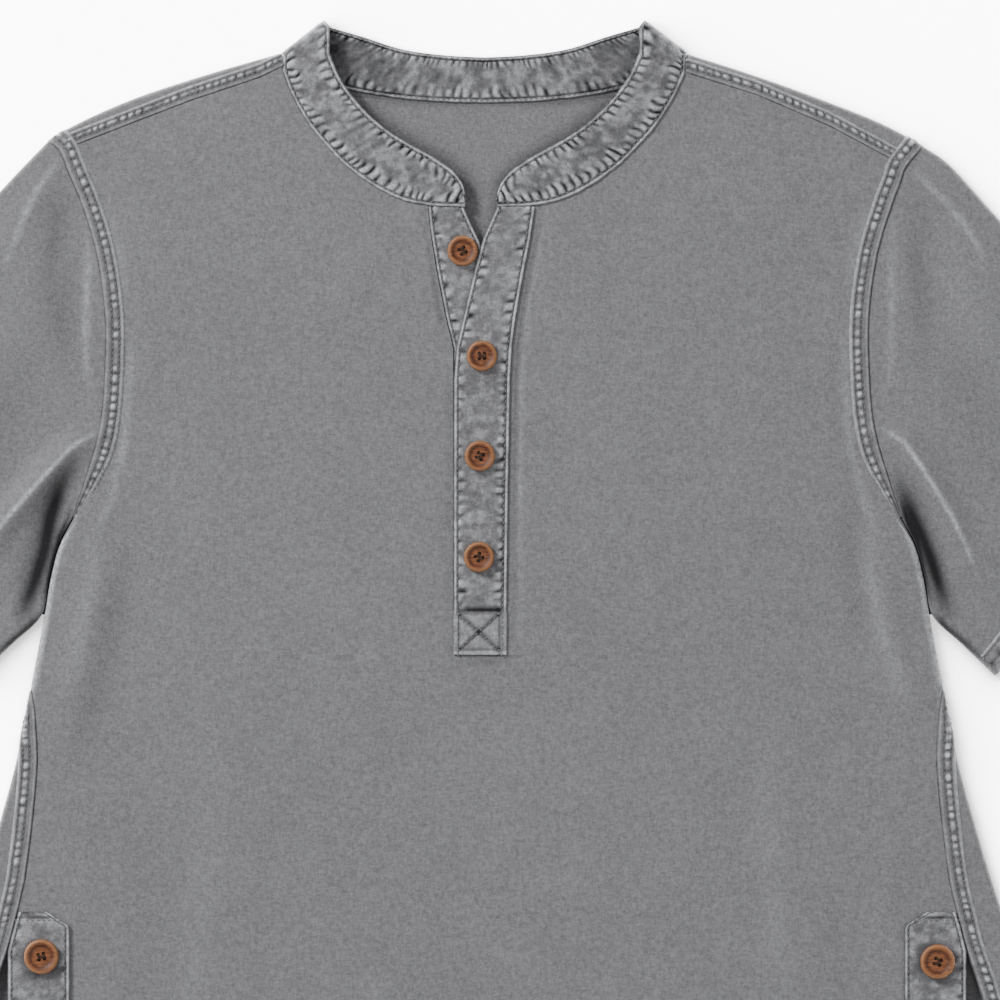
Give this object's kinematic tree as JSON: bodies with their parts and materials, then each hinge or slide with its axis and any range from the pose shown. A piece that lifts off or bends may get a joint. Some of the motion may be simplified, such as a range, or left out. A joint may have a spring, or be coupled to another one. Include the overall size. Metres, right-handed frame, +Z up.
{
  "type": "henley shirt laid flat",
  "caption": "Short-sleeved henley shirt laid flat on its back, with a band collar, a half placket opened at the neck, and buttoned side vents",
  "frame": {"origin": "On the surface that the shirt lies on, under the middle of the laid shirt's extents.", "axes": "+Z is up from the surface, +Y runs from the hem to the collar, and +X is the wearer's left."},
  "size_m": [0.812, 0.75, 0.0103],
  "materials": {
    "body_cloth": "garment-washed cotton, matte",
    "sleeve_cloth": "garment-washed cotton, matte",
    "band_cloth": "washed cotton, marbled by wear",
    "button": "satin"
  },
  "bodies": {
    "root": {"back": "body_cloth", "front": "body_cloth", "sleeve_left": "sleeve_cloth", "sleeve_right": "sleeve_cloth", "collar": "band_cloth", "placket_overlap": "band_cloth", "placket_underlap": "band_cloth", "vent_facing_left": "band_cloth", "vent_facing_right": "band_cloth", "vent_button_left": "button", "vent_button_right": "button", "button_1": "button", "button_2": "button", "button_3": "button", "button_4": "button"}
  },
  "joints": []
}
